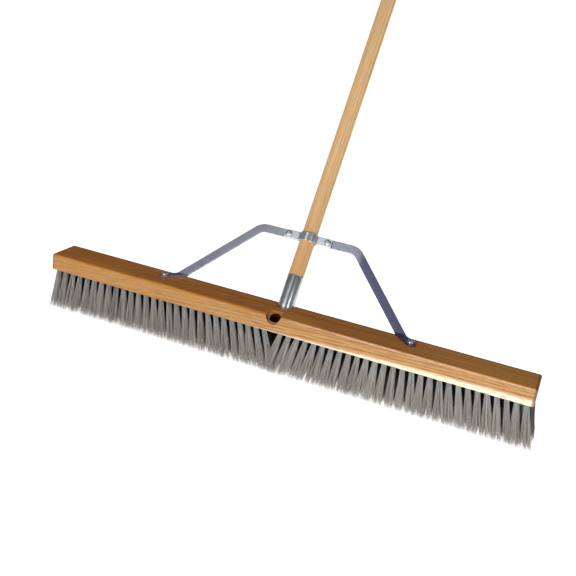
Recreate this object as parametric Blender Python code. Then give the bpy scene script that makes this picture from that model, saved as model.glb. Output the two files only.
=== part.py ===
"""Push broom: block with tuft rows, threaded handle, and a bolted steel brace. Metres, +Z up.

X runs along the block, +Y is the side the handle leans to, and z = 0 is the sweeping face.
"""

import math

import bmesh
import bpy
from mathutils import Matrix, Vector

GAP = 0.0003

# Block
BLOCK_LENGTH = 0.9144
BLOCK_WIDTH = 0.070
BLOCK_THICKNESS = 0.032
BLOCK_ROUND = 0.004
ROUND_STEPS = 3
TRIM = 0.076
BLOCK_BOTTOM = TRIM
BLOCK_TOP = TRIM + BLOCK_THICKNESS

# Handle sockets, one leaning back and one leaning forward
LEAN = math.radians(33.0)
SEAT_RADIUS = 0.0159
SEAT_Y = 0.0217
SEAT_DROP = 0.0087
THREAD_RADIUS = 0.009525
THREAD_PITCH = 0.00508
THREAD_DEPTH = 0.0019
THREAD_LENGTH = 0.019
THREAD_RELIEF = 0.0012
THREAD_LEAD_IN = 0.003
THREAD_ROOT_SHARE = 0.32
THREAD_FLANK_SHARE = 0.36
SOCKET_DEPTH = 0.0195
SOCKET_RADIUS = THREAD_RADIUS + GAP

# Handle
HANDLE_RADIUS = 0.0143
HANDLE_LENGTH = 1.524
HANDLE_SHANK_RADIUS = 0.0122
HANDLE_SHANK_START = 0.0035
HANDLE_SHOULDER = 0.066
HANDLE_END_ROUND = 0.009
END_ROUND_STEPS = 4
FERRULE_RADIUS = 0.0149
FERRULE_START = 0.0033
FERRULE_END = HANDLE_SHOULDER - GAP
FERRULE_LIP = 0.0011
TIP_FLANGE_RADIUS = 0.0136
TIP_FLANGE_START = 0.0002
TIP_FLANGE_END = 0.0030
TIP_PLUG_RADIUS = 0.0060
TIP_PLUG_END = 0.034
PLUG_HOLE_END = 0.036

# Brace. Its flat blank lies in a plane just behind the handle's axis and is folded at the block.
STRAP_WIDTH = 0.0159
STRAP_THICKNESS = 0.003
CLAMP_AT = 0.141
SADDLE_CLEARANCE = 0.0004
EAR_GAP = 0.0012
SADDLE_FILLET = 0.004
SADDLE_STEPS = 9
FILLET_STEPS = 3
SHOULDER_START = 0.083
SHOULDER_RADIUS = 0.024
SHOULDER_STEPS = 8
ARM_SLOPE = math.radians(46.5)
FOLD_RADIUS = 0.005
FOLD_STEPS = 5
FOOT_SCREW_REACH = 0.0335
FOOT_END_REACH = 0.0445
FOOT_END_STEPS = 5
FOOT_END_SWEEP = math.radians(84.0)
FOOT_LIFT = 0.0002
BAND_THICKNESS = 0.002
BAND_EAR_END = 0.046
BOLT_X = 0.038

# Fasteners
BOLT_RADIUS = 0.0030
BOLT_HOLE_RADIUS = 0.0034
BOLT_HEAD_RADIUS = 0.0062
BOLT_HEAD_HEIGHT = 0.0038
BOLT_END = 0.0125
NUT_ACROSS_CORNERS = 0.0127
NUT_HEIGHT = 0.0055
NUT_SIDES = 6
SCREW_RADIUS = 0.0026
SCREW_HOLE_RADIUS = 0.0029
SCREW_HEAD_RADIUS = 0.0062
SCREW_HEAD_HEIGHT = 0.0036
SCREW_DEPTH = 0.020
SCREW_POINT = 0.005

# How far a cutter runs past the faces that it cuts
SHALLOW_PAST = 0.001
NUT_PAST = 0.002
PLATE_PAST = 0.010

# Tufts
TUFT_PITCH = 0.0159
TUFTS_PER_HALF = 28
TUFT_ROOT_WIDTH = 0.008
TUFT_ROOT_DEPTH = 0.008
TUFT_TOP = BLOCK_BOTTOM - GAP
TUFT_MERGE = 0.028
END_MERGE_SHARE = 0.6
ROW_SPACING = 0.0135
TIP_SPAN = 0.092
TIP_END_X = 0.4545
TUFT_ROWS = ("front", "second", "centre", "fourth", "back")

WOOD_SEGMENTS = 48
METAL_SEGMENTS = 32
SMALL_SEGMENTS = 24
THREAD_SEGMENTS = 20
THREAD_ROWS_PER_TURN = 6


def clear_scene():
    """Remove every object the file starts with."""
    for obj in list(bpy.data.objects):
        bpy.data.objects.remove(obj, do_unlink=True)


def make_material(name, colour, roughness, metallic):
    """Return a Principled material."""
    mat = bpy.data.materials.new(name)
    mat.use_nodes = True
    shader = mat.node_tree.nodes["Principled BSDF"]
    shader.inputs["Base Color"].default_value = (*colour, 1.0)
    shader.inputs["Roughness"].default_value = roughness
    shader.inputs["Metallic"].default_value = metallic
    return mat


def handle_frame(side=1.0):
    """Return the frame at a socket's seat: local Z up the socket's axis, local Y away from the block."""
    axis = Vector((0.0, side * math.sin(LEAN), math.cos(LEAN)))
    across = Vector((1.0, 0.0, 0.0))
    third = axis.cross(across)
    origin = Vector((0.0, side * SEAT_Y, BLOCK_TOP - SEAT_DROP))
    frame = Matrix((across, third, axis)).transposed().to_4x4()
    frame.translation = origin
    return frame


def add_object(name, bm, mat, frame=None):
    """Turn a bmesh into a named object with its own material, placed by a frame."""
    bmesh.ops.recalc_face_normals(bm, faces=bm.faces)
    mesh = bpy.data.meshes.new(name)
    bm.to_mesh(mesh)
    bm.free()
    mesh.materials.append(mat)
    obj = bpy.data.objects.new(name, mesh)
    bpy.context.scene.collection.objects.link(obj)
    if frame is not None:
        obj.matrix_world = frame
    return obj


def revolved(profile, segments):
    """Return a bmesh of a profile of (radius, height) turned about Z; radius 0 marks a pole."""
    bm = bmesh.new()
    rings = []
    for radius, height in profile:
        if radius == 0.0:
            rings.append([bm.verts.new((0.0, 0.0, height))])
            continue
        ring = []
        for k in range(segments):
            turn = math.tau * k / segments
            ring.append(bm.verts.new((radius * math.cos(turn), radius * math.sin(turn), height)))
        rings.append(ring)
    closed = len(rings[0]) > 1
    pairs = list(zip(rings, rings[1:]))
    if closed:
        pairs.append((rings[-1], rings[0]))
    for low, high in pairs:
        for k in range(segments):
            after = (k + 1) % segments
            below = [low[k % len(low)], low[after % len(low)]]
            above = [high[after % len(high)], high[k % len(high)]]
            bm.faces.new(list(dict.fromkeys(below + above)))
    return bm


def cut(target, cutters):
    """Take the cutters away from the target, then remove them."""
    for cutter in cutters:
        cutter.hide_render = True
        cutter.display_type = "WIRE"
        step = target.modifiers.new("cut", "BOOLEAN")
        step.operation = "DIFFERENCE"
        step.solver = "EXACT"
        step.object = cutter
    bpy.context.view_layer.update()
    graph = bpy.context.evaluated_depsgraph_get()
    result = bpy.data.meshes.new_from_object(target.evaluated_get(graph))
    target.modifiers.clear()
    target.data = result
    for cutter in cutters:
        bpy.data.objects.remove(cutter, do_unlink=True)


def rod(name, radius, low, high, mat, frame, segments=METAL_SEGMENTS):
    """Add a plain cylinder on a frame's Z axis."""
    bm = revolved([(0.0, low), (radius, low), (radius, high), (0.0, high)], segments)
    return add_object(name, bm, mat, frame)


def plate_cutter(radius, mat, frame):
    """Return a drill that passes through a plate on a frame's Z axis."""
    return rod("plate_cutter", radius, -PLATE_PAST, PLATE_PAST, mat, frame, SMALL_SEGMENTS)


def build_block(mat):
    """Add the wooden block with both handle sockets and the two foot screw holes."""
    bm = bmesh.new()
    bmesh.ops.create_cube(bm, size=1.0)
    bmesh.ops.scale(bm, vec=(BLOCK_LENGTH, BLOCK_WIDTH, BLOCK_THICKNESS), verts=bm.verts)
    bmesh.ops.translate(bm, vec=(0.0, 0.0, (BLOCK_BOTTOM + BLOCK_TOP) / 2.0), verts=bm.verts)
    bmesh.ops.bevel(
        bm, geom=list(bm.edges), offset=BLOCK_ROUND, segments=ROUND_STEPS, profile=0.5, affect="EDGES"
    )
    block = add_object("block", bm, mat)
    cutters = []
    for side in (1.0, -1.0):
        frame = handle_frame(side)
        cutters.append(rod("seat_cutter", SEAT_RADIUS, 0.0, SEAT_RADIUS * 2.0, mat, frame))
        cutters.append(rod("socket_cutter", SOCKET_RADIUS, -SOCKET_DEPTH, SHALLOW_PAST, mat, frame))
    for side in (-1.0, 1.0):
        low = -SCREW_DEPTH - GAP
        frame = foot_screw_frame(side)
        cutters.append(rod("screw_cutter", SCREW_HOLE_RADIUS, low, SHALLOW_PAST, mat, frame, SMALL_SEGMENTS))
    cut(block, cutters)


def build_handle(mat):
    """Add the round wooden handle with its turned-down lower end and rounded top."""
    top = []
    for step in range(END_ROUND_STEPS + 1):
        turn = math.pi / 2.0 * step / END_ROUND_STEPS
        radius = HANDLE_RADIUS - HANDLE_END_ROUND * (1.0 - math.cos(turn))
        top.append((radius, HANDLE_LENGTH - HANDLE_END_ROUND * (1.0 - math.sin(turn))))
    profile = [
        (0.0, PLUG_HOLE_END),
        (TIP_PLUG_RADIUS + GAP, PLUG_HOLE_END),
        (TIP_PLUG_RADIUS + GAP, HANDLE_SHANK_START),
        (HANDLE_SHANK_RADIUS, HANDLE_SHANK_START),
        (HANDLE_SHANK_RADIUS, HANDLE_SHOULDER),
        (HANDLE_RADIUS, HANDLE_SHOULDER),
    ]
    profile += top
    profile.append((0.0, HANDLE_LENGTH))
    add_object("handle", revolved(profile, WOOD_SEGMENTS), mat, handle_frame())


def build_ferrule(mat):
    """Add the steel sleeve pressed over the handle's lower end, with a turned-in lower lip."""
    inner = HANDLE_SHANK_RADIUS + GAP
    profile = [
        (inner, FERRULE_START),
        (FERRULE_RADIUS - FERRULE_LIP, FERRULE_START),
        (FERRULE_RADIUS, FERRULE_START + FERRULE_LIP),
        (FERRULE_RADIUS, FERRULE_END - FERRULE_LIP / 2.0),
        (FERRULE_RADIUS - FERRULE_LIP / 2.0, FERRULE_END),
        (inner, FERRULE_END),
    ]
    add_object("ferrule", revolved(profile, WOOD_SEGMENTS), mat, handle_frame())


def thread_radius(turn, height):
    """Return the Acme-shaped thread's radius at a turn (radians) and height (metres)."""
    phase = (height / THREAD_PITCH - turn / math.tau) % 1.0
    rise = min(phase, 1.0 - phase) * 2.0
    crest = min(max((rise - THREAD_ROOT_SHARE) / THREAD_FLANK_SHARE, 0.0), 1.0)
    return THREAD_RADIUS - THREAD_DEPTH * (1.0 - crest)


def build_threaded_tip(mat):
    """Add the tip: external thread, flange against the seat, and the plug inside the handle."""
    bm = bmesh.new()
    rows = int(THREAD_LENGTH / THREAD_PITCH * THREAD_ROWS_PER_TURN)
    rings = []
    core = THREAD_RADIUS - THREAD_DEPTH
    plain = [
        (core, TIP_FLANGE_START),
        (TIP_FLANGE_RADIUS, TIP_FLANGE_START),
        (TIP_FLANGE_RADIUS, TIP_FLANGE_END),
        (TIP_PLUG_RADIUS, TIP_FLANGE_END),
        (TIP_PLUG_RADIUS, TIP_PLUG_END),
    ]
    stations = [(None, -THREAD_LENGTH + (THREAD_LENGTH - THREAD_RELIEF) * k / rows) for k in range(rows + 1)]
    stations += plain
    for fixed, height in stations:
        ring = []
        for k in range(THREAD_SEGMENTS):
            turn = math.tau * k / THREAD_SEGMENTS
            radius = fixed
            if fixed is None:
                ends = min(1.0, (height + THREAD_LENGTH) / THREAD_LEAD_IN)
                point = core - THREAD_RELIEF
                radius = point + (thread_radius(turn, height) - point) * ends
            ring.append(bm.verts.new((radius * math.cos(turn), radius * math.sin(turn), height)))
        rings.append(ring)
    for low, high in zip(rings, rings[1:]):
        for k in range(THREAD_SEGMENTS):
            after = (k + 1) % THREAD_SEGMENTS
            bm.faces.new((low[k], low[after], high[after], high[k]))
    bm.faces.new(rings[0])
    bm.faces.new(rings[-1])
    uneven = [face for face in bm.faces if len(face.verts) == 4]
    bmesh.ops.triangulate(bm, faces=uneven)
    add_object("threaded_tip", bm, mat, handle_frame())


def local_arc(centre, radius, start, end, steps):
    """Return points of an arc about a centre, both ends included."""
    points = []
    for k in range(steps + 1):
        turn = start + (end - start) * k / steps
        points.append((centre[0] + radius * math.cos(turn), centre[1] + radius * math.sin(turn)))
    return points


def saddle_stations(thickness, side):
    """Return stations of half a saddle, from its middle to the start of its ear.

    A station is (high edge, low edge, outward normal), in the handle's frame. The saddle passes
    behind the handle where side is 1 and in front of it where side is -1.
    """
    arc_radius = HANDLE_RADIUS + SADDLE_CLEARANCE + thickness / 2.0
    ear = EAR_GAP / 2.0 + thickness / 2.0
    drop = ear + SADDLE_FILLET
    centre_x = math.sqrt((arc_radius + SADDLE_FILLET) ** 2 - drop ** 2)
    meet = math.atan2(drop, centre_x)
    stations = []
    for x, y in local_arc((0.0, 0.0), arc_radius, math.pi / 2.0, meet, SADDLE_STEPS):
        normal = Vector((x, side * y, 0.0)).normalized()
        stations.append(level_station(x, side * y, normal))
    fillet = local_arc((centre_x, drop), SADDLE_FILLET, math.pi + meet, math.pi * 1.5, FILLET_STEPS)
    for x, y in fillet[1:]:
        normal = Vector((centre_x - x, side * (drop - y), 0.0)).normalized()
        stations.append(level_station(x, side * y, normal))
    return stations


def level_station(x, y, normal):
    """Return a station whose cross line runs along the handle."""
    high = Vector((x, y, CLAMP_AT + STRAP_WIDTH / 2.0))
    low = Vector((x, y, CLAMP_AT - STRAP_WIDTH / 2.0))
    return high, low, normal


def foot_heights():
    """Return the foot's middle height and the blank's own height at the fold line."""
    middle = BLOCK_TOP + FOOT_LIFT + STRAP_THICKNESS / 2.0
    off = EAR_GAP / 2.0 + STRAP_THICKNESS / 2.0
    seat = BLOCK_TOP - SEAT_DROP
    return middle, (middle - seat + off * math.sin(LEAN)) / math.cos(LEAN)


def folded(point):
    """Fold a point of the flat blank, given in the handle's frame, down onto the block's top.

    Returns the point and the blank's outward normal, both in the handle's frame.
    """
    turn = math.pi / 2.0 - LEAN
    _, fold_at = foot_heights()
    start = fold_at + FOLD_RADIUS * math.tan(turn / 2.0)
    past = start - point.z
    if past <= 0.0:
        return point.copy(), Vector((0.0, 1.0, 0.0))
    centre = Vector((point.x, point.y - FOLD_RADIUS, start))
    angle = min(past / FOLD_RADIUS, turn)
    out = Vector((0.0, math.cos(angle), -math.sin(angle)))
    along = Vector((0.0, -math.sin(angle), -math.cos(angle)))
    rest = past - FOLD_RADIUS * angle
    return centre + out * FOLD_RADIUS + along * rest, out


def arm_layout():
    """Return the arm's direction, where the shoulder ends and how long the arm is to the fold."""
    off = EAR_GAP / 2.0 + STRAP_THICKNESS / 2.0
    direction = Vector((math.cos(ARM_SLOPE), 0.0, -math.sin(ARM_SLOPE)))
    shoulder_end = Vector((
        SHOULDER_START + SHOULDER_RADIUS * math.sin(ARM_SLOPE),
        off,
        CLAMP_AT - SHOULDER_RADIUS * (1.0 - math.cos(ARM_SLOPE)),
    ))
    _, fold_at = foot_heights()
    length = (shoulder_end.z - fold_at) / math.sin(ARM_SLOPE)
    return direction, shoulder_end, length


def arm_stations():
    """Return flat stations from the shoulder's start to the foot's rounded end, as edge pairs."""
    off = EAR_GAP / 2.0 + STRAP_THICKNESS / 2.0
    half = STRAP_WIDTH / 2.0
    pairs = []
    for k in range(SHOULDER_STEPS + 1):
        turn = ARM_SLOPE * k / SHOULDER_STEPS
        out = Vector((math.sin(turn), 0.0, math.cos(turn)))
        centre = Vector((SHOULDER_START, off, CLAMP_AT - SHOULDER_RADIUS))
        pairs.append((centre + out * (SHOULDER_RADIUS + half), centre + out * (SHOULDER_RADIUS - half)))
    direction, start, length = arm_layout()
    across = Vector((math.sin(ARM_SLOPE), 0.0, math.cos(ARM_SLOPE)))
    chord = Vector((half / math.sin(ARM_SLOPE), 0.0, 0.0))
    turn = math.pi / 2.0 - LEAN
    _, fold_at = foot_heights()
    first = fold_at + FOLD_RADIUS * math.tan(turn / 2.0)
    for k in range(FOLD_STEPS + 1):
        height = first - FOLD_RADIUS * turn * k / FOLD_STEPS
        middle = start + direction * ((start.z - height) / math.sin(ARM_SLOPE))
        pairs.append((middle + chord, middle - chord))
    shift = blank_shift()
    end = length + FOOT_END_REACH - shift
    for k in range(FOOT_END_STEPS + 1):
        turn = FOOT_END_SWEEP * k / FOOT_END_STEPS
        middle = start + direction * (end - half + half * math.sin(turn))
        pairs.append((middle + across * half * math.cos(turn), middle - across * half * math.cos(turn)))
    return pairs


def blank_shift():
    """Return how much shorter the folded strap is than its two straight legs, along its own line."""
    turn = math.pi / 2.0 - LEAN
    return (2.0 * FOLD_RADIUS * math.tan(turn / 2.0) - FOLD_RADIUS * turn) / math.sin(ARM_SLOPE)


def foot_screw_point(side):
    """Return the foot screw's place on the block's top."""
    direction, start, length = arm_layout()
    flat = start + direction * (length + FOOT_SCREW_REACH - blank_shift())
    point, _ = folded(flat)
    world = handle_frame() @ point
    return Vector((side * world.x, world.y, BLOCK_TOP))


def foot_screw_frame(side):
    """Return the foot screw's frame, with its Z axis up."""
    return Matrix.Translation(foot_screw_point(side))


def bolt_frame(side):
    """Return a clamp bolt's frame, with its Z axis towards its head at the front."""
    place = Matrix.Translation(Vector((side * BOLT_X, 0.0, CLAMP_AT)))
    return handle_frame() @ place @ Matrix.Rotation(math.pi / 2.0, 4, "X")


def strip(stations, thickness):
    """Return a bmesh of a strip through (edge, edge, normal) stations, closed at both ends."""
    bm = bmesh.new()
    rings = []
    for high, low, normal in stations:
        half = normal * (thickness / 2.0)
        rings.append([bm.verts.new(p) for p in (high + half, low + half, low - half, high - half)])
    for before, after in zip(rings, rings[1:]):
        for k in range(4):
            nxt = (k + 1) % 4
            bm.faces.new((before[k], before[nxt], after[nxt], after[k]))
    bm.faces.new(rings[0])
    bm.faces.new(rings[-1])
    return bm


def mirrored(station):
    """Return a station reflected to the other side of the handle."""
    high, low, normal = station
    flip = Vector((-1.0, 1.0, 1.0))
    return high * flip, low * flip, normal * flip


def build_brace_strap(mat):
    """Add the one-piece strap: rear saddle, ears, shoulders, arms and folded feet."""
    half = saddle_stations(STRAP_THICKNESS, 1.0)
    for high, low in arm_stations():
        high, normal = folded(high)
        low, _ = folded(low)
        half.append((high, low, normal))
    stations = [mirrored(station) for station in reversed(half[1:])] + half
    strap = add_object("brace_strap", strip(stations, STRAP_THICKNESS), mat, handle_frame())
    cutters = []
    for side in (-1.0, 1.0):
        cutters.append(plate_cutter(BOLT_HOLE_RADIUS, mat, bolt_frame(side)))
        cutters.append(plate_cutter(SCREW_HOLE_RADIUS, mat, foot_screw_frame(side)))
    cut(strap, cutters)


def build_clamp_band(mat):
    """Add the short front half of the clamp, with its two ears."""
    half = saddle_stations(BAND_THICKNESS, -1.0)
    off = -(EAR_GAP + BAND_THICKNESS) / 2.0
    half.append(level_station(BAND_EAR_END, off, Vector((0.0, -1.0, 0.0))))
    stations = [mirrored(station) for station in reversed(half[1:])] + half
    band = add_object("clamp_band", strip(stations, BAND_THICKNESS), mat, handle_frame())
    cutters = []
    for side in (-1.0, 1.0):
        cutters.append(plate_cutter(BOLT_HOLE_RADIUS, mat, bolt_frame(side)))
    cut(band, cutters)


def domed_head(radius, height, seat, steps=4):
    """Return the profile of a domed head standing on a seat height, from its rim to its pole."""
    profile = [(radius, seat)]
    for k in range(1, steps):
        turn = math.pi / 2.0 * k / steps
        profile.append((radius * math.cos(turn) ** 0.5, seat + height * math.sin(turn)))
    profile.append((0.0, seat + height))
    return profile


def build_clamp_bolt(name, side, mat):
    """Add a domed clamp bolt through both ears."""
    seat = EAR_GAP / 2.0 + BAND_THICKNESS + GAP
    profile = [(0.0, -BOLT_END), (BOLT_RADIUS, -BOLT_END), (BOLT_RADIUS, seat)]
    profile += domed_head(BOLT_HEAD_RADIUS, BOLT_HEAD_HEIGHT, seat)
    add_object(name, revolved(profile, SMALL_SEGMENTS), mat, bolt_frame(side))


def build_clamp_nut(name, side, mat):
    """Add the hexagon nut behind an ear."""
    near = -(EAR_GAP / 2.0 + STRAP_THICKNESS + GAP)
    far = near - NUT_HEIGHT
    corner = NUT_ACROSS_CORNERS / 2.0
    frame = bolt_frame(side)
    outline = [(0.0, far), (corner, far), (corner, near), (0.0, near)]
    nut = add_object(name, revolved(outline, NUT_SIDES), mat, frame)
    hole = BOLT_RADIUS + GAP
    cut(nut, [rod("nut_cutter", hole, far - NUT_PAST, near + NUT_PAST, mat, frame, SMALL_SEGMENTS)])


def build_foot_screw(name, side, mat):
    """Add a round-head screw through a foot into the block."""
    seat = FOOT_LIFT + STRAP_THICKNESS + GAP
    profile = [
        (0.0, -SCREW_DEPTH),
        (SCREW_RADIUS, -SCREW_DEPTH + SCREW_POINT),
        (SCREW_RADIUS, seat),
    ]
    profile += domed_head(SCREW_HEAD_RADIUS, SCREW_HEAD_HEIGHT, seat)
    add_object(name, revolved(profile, SMALL_SEGMENTS), mat, foot_screw_frame(side))


def comb(name, roots, left, right, root_y, tip_low, tip_high, mat):
    """Add a row of tufts: separate at their roots, flared, and merged towards their tips."""
    edges = [left + (right - left) * k / len(roots) for k in range(len(roots) + 1)]
    outline = [(left, 0.0), (left, TUFT_MERGE * END_MERGE_SHARE)]
    for k, root in enumerate(roots):
        outline.append((root - TUFT_ROOT_WIDTH / 2.0, TUFT_TOP))
        outline.append((root + TUFT_ROOT_WIDTH / 2.0, TUFT_TOP))
        if k + 1 < len(roots):
            outline.append((edges[k + 1], TUFT_MERGE))
    outline += [(right, TUFT_MERGE * END_MERGE_SHARE), (right, 0.0)]
    bm = bmesh.new()
    near = []
    far = []
    for x, z in outline:
        part = z / TUFT_TOP
        near.append(bm.verts.new((x, tip_low + (root_y - TUFT_ROOT_DEPTH / 2.0 - tip_low) * part, z)))
        far.append(bm.verts.new((x, tip_high + (root_y + TUFT_ROOT_DEPTH / 2.0 - tip_high) * part, z)))
    bm.faces.new(near)
    bm.faces.new(list(reversed(far)))
    count = len(outline)
    for k in range(count):
        after = (k + 1) % count
        bm.faces.new((near[k], far[k], far[after], near[after]))
    add_object(name, bm, mat)


def build_tuft_rows(mat):
    """Add the rows of tufts; the middle row is one piece, the others have a left and a right half."""
    depth = TIP_SPAN / len(TUFT_ROWS)
    for index, row in enumerate(TUFT_ROWS):
        root_y = (index - 2) * ROW_SPACING
        tip_low = -TIP_SPAN / 2.0 + depth * index + GAP / 2.0
        tip_high = tip_low + depth - GAP
        stagger = 0.5 if index % 2 else 0.0
        count = TUFTS_PER_HALF - index % 2
        half = [TUFT_PITCH * (k + 1 + stagger) for k in range(count)]
        other = [-x for x in reversed(half)]
        if row == "centre":
            name = "tuft_row_centre"
            comb(name, other + half, -TIP_END_X, TIP_END_X, root_y, tip_low, tip_high, mat)
            continue
        inner = GAP / 2.0
        comb(f"tuft_row_{row}_left", other, -TIP_END_X, -inner, root_y, tip_low, tip_high, mat)
        comb(f"tuft_row_{row}_right", half, inner, TIP_END_X, root_y, tip_low, tip_high, mat)


def main():
    """Build every sub-part."""
    clear_scene()
    lacquered = make_material("lacquered_wood", (0.50, 0.27, 0.09), 0.3, 0.0)
    plain_wood = make_material("handle_wood", (0.62, 0.40, 0.19), 0.45, 0.0)
    steel = make_material("ferrule_steel", (0.45, 0.47, 0.50), 0.3, 1.0)
    cast = make_material("cast_zinc", (0.55, 0.56, 0.57), 0.4, 1.0)
    zinc = make_material("zinc_plate", (0.50, 0.51, 0.56), 0.35, 1.0)
    band = make_material("clamp_plate", (0.62, 0.63, 0.64), 0.3, 1.0)
    fastener = make_material("fastener_zinc", (0.65, 0.65, 0.66), 0.3, 1.0)
    bristle = make_material("bristle", (0.42, 0.40, 0.36), 0.7, 0.0)
    build_block(lacquered)
    build_handle(plain_wood)
    build_ferrule(steel)
    build_threaded_tip(cast)
    build_brace_strap(zinc)
    build_clamp_band(band)
    for name, side in (("left", -1.0), ("right", 1.0)):
        build_clamp_bolt(f"clamp_bolt_{name}", side, fastener)
        build_clamp_nut(f"clamp_nut_{name}", side, fastener)
        build_foot_screw(f"foot_screw_{name}", side, fastener)
    build_tuft_rows(bristle)


if __name__ == "__main__":
    main()
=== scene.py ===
"""A wooden push broom with a bolted steel brace, dressed for a plain pale studio.

Lengths are in metres. X runs along the block, +Y is the side the handle leans to, and the
sweeping face is at z = 0.
"""

import logging
import math
from collections.abc import Callable, Sequence
from dataclasses import dataclass, field
from enum import Enum

import bmesh
import bpy
import numpy as np
from mathutils import Matrix, Vector


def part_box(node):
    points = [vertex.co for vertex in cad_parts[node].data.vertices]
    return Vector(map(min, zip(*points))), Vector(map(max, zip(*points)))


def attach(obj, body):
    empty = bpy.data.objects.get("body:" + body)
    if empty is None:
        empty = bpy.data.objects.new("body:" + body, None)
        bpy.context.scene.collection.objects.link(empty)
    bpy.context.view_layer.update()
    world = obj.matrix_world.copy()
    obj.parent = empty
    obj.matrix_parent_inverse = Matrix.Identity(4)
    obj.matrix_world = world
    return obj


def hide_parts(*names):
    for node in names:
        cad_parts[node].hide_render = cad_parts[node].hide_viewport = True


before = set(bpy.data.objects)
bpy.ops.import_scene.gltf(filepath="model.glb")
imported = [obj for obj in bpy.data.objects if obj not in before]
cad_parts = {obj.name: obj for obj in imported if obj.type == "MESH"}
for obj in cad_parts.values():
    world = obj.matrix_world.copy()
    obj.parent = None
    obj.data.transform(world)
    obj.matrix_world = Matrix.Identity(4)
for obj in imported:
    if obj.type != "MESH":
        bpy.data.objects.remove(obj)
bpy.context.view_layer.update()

NEAR = 1e-6  # places closer than this are one place

log = logging.getLogger("push_broom")

Colour = tuple[float, float, float]
Point = tuple[float, float, float]
Span = tuple[float, float]
Piece = bpy.types.Object
Socket = bpy.types.NodeSocket


class Side(Enum):
    """The two ends of the broom head, as seen from the front."""

    LEFT = -1.0
    RIGHT = 1.0


class Pick(Enum):
    """What an edit session picks."""

    VERTS = "VERT"
    EDGES = "EDGE"
    FACES = "FACE"


# ---------------------------------------------------------------- the bench


class Bench:
    """Object-mode work: primitives, modifiers and placing."""

    @staticmethod
    def take(piece: Piece) -> None:
        """Pick one piece and nothing else."""
        bpy.ops.object.select_all(action="DESELECT")
        bpy.context.view_layer.objects.active = piece
        piece.select_set(True)

    @staticmethod
    def _named(name: str, size: Point) -> Piece:
        """Name the new primitive and settle its size into its mesh."""
        piece = bpy.context.object
        piece.name = name
        piece.data.name = name
        Bench.take(piece)
        piece.scale = size
        bpy.ops.object.transform_apply(location=True, rotation=True, scale=True)
        return piece

    @staticmethod
    def bar(name: str, size: Point, centre: Point) -> Piece:
        """Add a rectangular bar.

        Args:
            name: the piece's name.
            size: its length, width and height.
            centre: its middle.

        Returns:
            The new piece.
        """
        bpy.ops.object.select_all(action="DESELECT")
        bpy.ops.mesh.primitive_cube_add(size=1.0, location=centre)
        return Bench._named(name, size)

    @staticmethod
    def upright_plate(name: str, x: Span, y: float, z: Span) -> Piece:
        """Add a flat face that stands in an XZ plane.

        Args:
            name: the piece's name.
            x: its left and right sides.
            y: the plane that it stands in.
            z: its bottom and top.

        Returns:
            The new piece.
        """
        bpy.ops.object.select_all(action="DESELECT")
        centre = ((x[0] + x[1]) / 2.0, y, (z[0] + z[1]) / 2.0)
        bpy.ops.mesh.primitive_plane_add(size=1.0, location=centre, rotation=(math.pi / 2.0, 0.0, 0.0))
        return Bench._named(name, (x[1] - x[0], z[1] - z[0], 1.0))

    @staticmethod
    def round_bar(
        name: str, radius: float, low: float, high: float, sides: int = 48, ends: str = "NGON"
    ) -> Piece:
        """Add a round bar on the Z axis.

        Args:
            name: the piece's name.
            radius: its radius, or half its width across corners.
            low: its lower end.
            high: its upper end.
            sides: how many flats it is made of.
            ends: NGON for closed ends or NOTHING for a tube.

        Returns:
            The new piece.
        """
        bpy.ops.object.select_all(action="DESELECT")
        bpy.ops.mesh.primitive_cylinder_add(
            vertices=sides,
            radius=radius,
            depth=high - low,
            end_fill_type=ends,
            location=(0.0, 0.0, (low + high) / 2.0),
        )
        return Bench._named(name, (1.0, 1.0, 1.0))

    @staticmethod
    def place(piece: Piece, where: Matrix) -> Piece:
        """Move a piece by a matrix and settle that into its mesh."""
        Bench.take(piece)
        piece.matrix_world = where @ piece.matrix_world
        bpy.ops.object.transform_apply(location=True, rotation=True, scale=True)
        return piece

    @staticmethod
    def modify(piece: Piece, kind: str, **settings: object) -> None:
        """Add a modifier with these settings and apply it at once."""
        Bench.take(piece)
        step = piece.modifiers.new(kind.lower(), kind)
        for name, value in settings.items():
            setattr(step, name, value)
        bpy.ops.object.modifier_apply(modifier=step.name)

    @staticmethod
    def carve(piece: Piece, cutters: Sequence[Piece], how: str = "DIFFERENCE") -> None:
        """Cut a piece with others, or join them to it, and clear the others away.

        Args:
            piece: what is cut or joined to.
            cutters: the pieces that do it.
            how: DIFFERENCE, UNION or INTERSECT.
        """
        for cutter in cutters:
            Bench.modify(piece, "BOOLEAN", operation=how, solver="EXACT", object=cutter)
            bpy.data.objects.remove(cutter, do_unlink=True)

    @staticmethod
    def soften(piece: Piece, width: float, steps: int = 2, limit: float = 35.0) -> None:
        """Round every edge sharper than a limit.

        Args:
            piece: what is rounded.
            width: how far back from the edge the rounding starts.
            steps: how many facets it has.
            limit: the least angle between faces, in degrees.
        """
        Bench.modify(
            piece,
            "BEVEL",
            width=width,
            segments=steps,
            limit_method="ANGLE",
            angle_limit=math.radians(limit),
            use_clamp_overlap=True,
            harden_normals=False,
        )

    @staticmethod
    def smooth(piece: Piece, limit: float = 35.0) -> None:
        """Shade smooth across edges up to a limit in degrees."""
        Bench.take(piece)
        bpy.ops.object.shade_smooth_by_angle(angle=math.radians(limit))

    @staticmethod
    def finish(piece: Piece, limit: float, where: Matrix | None = None) -> None:
        """Point a piece's faces outwards, shade it smooth up to a limit and put it in place."""
        with Edit(piece) as edit:
            edit.outward()
        Bench.smooth(piece, limit)
        if where is not None:
            Bench.place(piece, where)

    @staticmethod
    def even_normals(piece: Piece) -> None:
        """Let broad flat faces rule the shading of the small rounded ones beside them."""
        Bench.modify(piece, "WEIGHTED_NORMAL", keep_sharp=True, weight=80)


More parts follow.
